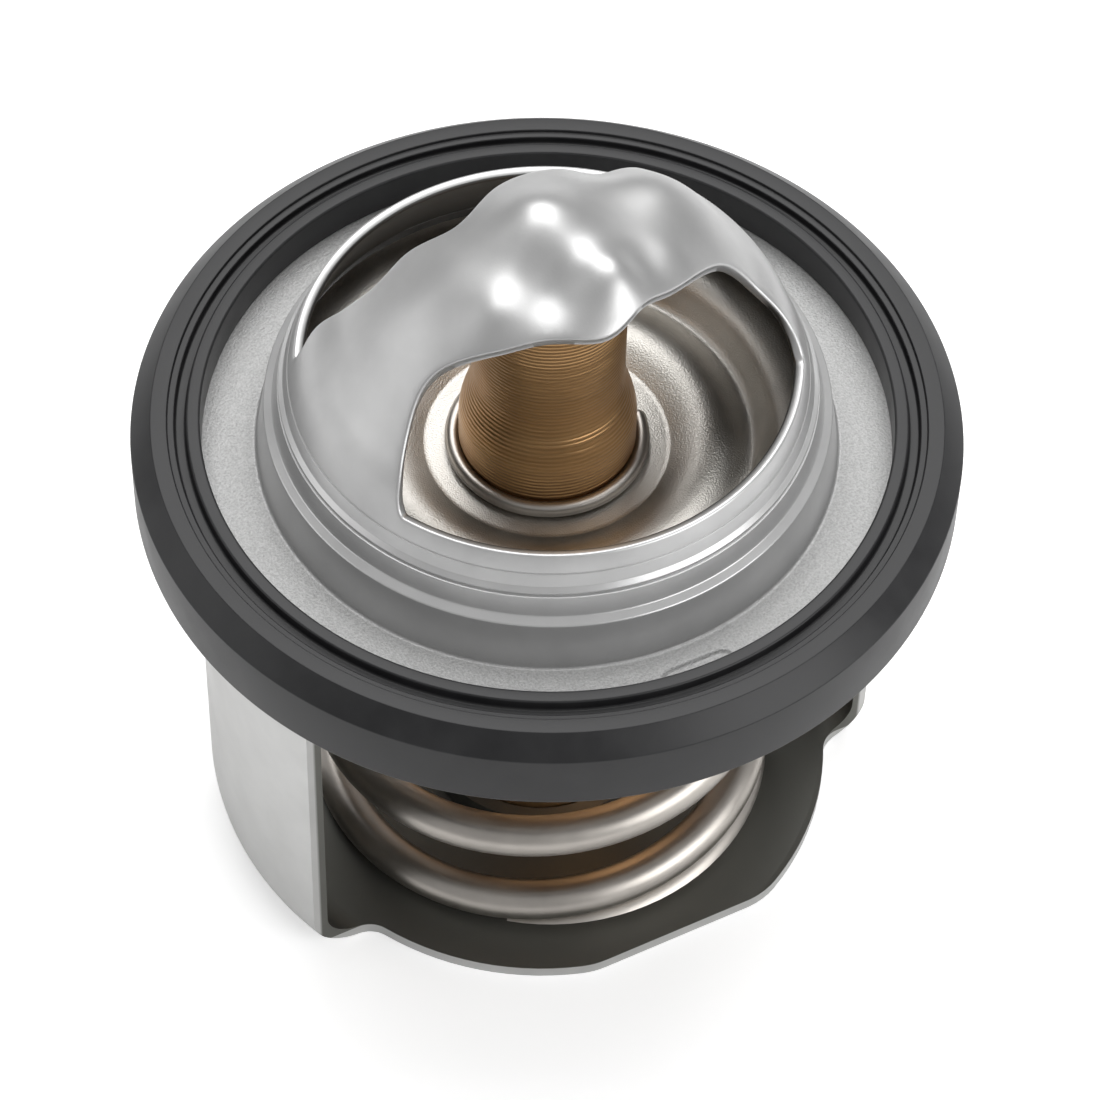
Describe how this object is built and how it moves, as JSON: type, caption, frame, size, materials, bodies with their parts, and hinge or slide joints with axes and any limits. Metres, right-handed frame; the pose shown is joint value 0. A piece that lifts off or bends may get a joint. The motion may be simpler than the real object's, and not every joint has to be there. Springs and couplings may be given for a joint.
{
  "type": "engine thermostat",
  "caption": "Wax-element coolant thermostat insert: domed bridge over a spring-closed valve plate, rubber-edged flange and an open lower frame.",
  "frame": {"origin": "on the valve axis, at the underside of the lower frame's flat plate", "axes": "+Z along the valve axis from the lower frame towards the bridge; the bridge and the frame's two legs lie along X"},
  "size_m": [0.058, 0.058, 0.0607],
  "materials": {
    "housing_steel": "satin pressed stainless sheet",
    "seal_rubber": "satin black moulded rubber",
    "frame_steel": "satin pressed stainless sheet",
    "spring_steel": "smooth warm grey drawn wire",
    "valve_steel": "grainy satin pressed sheet",
    "piston_steel": "polished pin",
    "element_brass": "turned, with fine grooves",
    "boot_rubber": "plain",
    "wax": "copper-filled wax"
  },
  "bodies": {
    "housing": {"upper_housing": "housing_steel", "flange_seal": "seal_rubber", "lower_frame": "frame_steel", "main_spring": "spring_steel", "piston": "piston_steel"},
    "valve": {"valve_plate": "valve_steel", "guide_body": "element_brass", "snap_ring": "spring_steel", "wax_capsule": "element_brass", "rubber_boot": "boot_rubber", "wax_charge": "wax"}
  },
  "joints": [
    {"name": "valve_lift", "type": "slide", "parent": "housing", "child": "valve", "axis": [0, 0, -1], "range_m": [0, 0.008], "stiffness_N_per_m": 5000, "springref_m": -0.01, "deforming": ["main_spring"]}
  ]
}
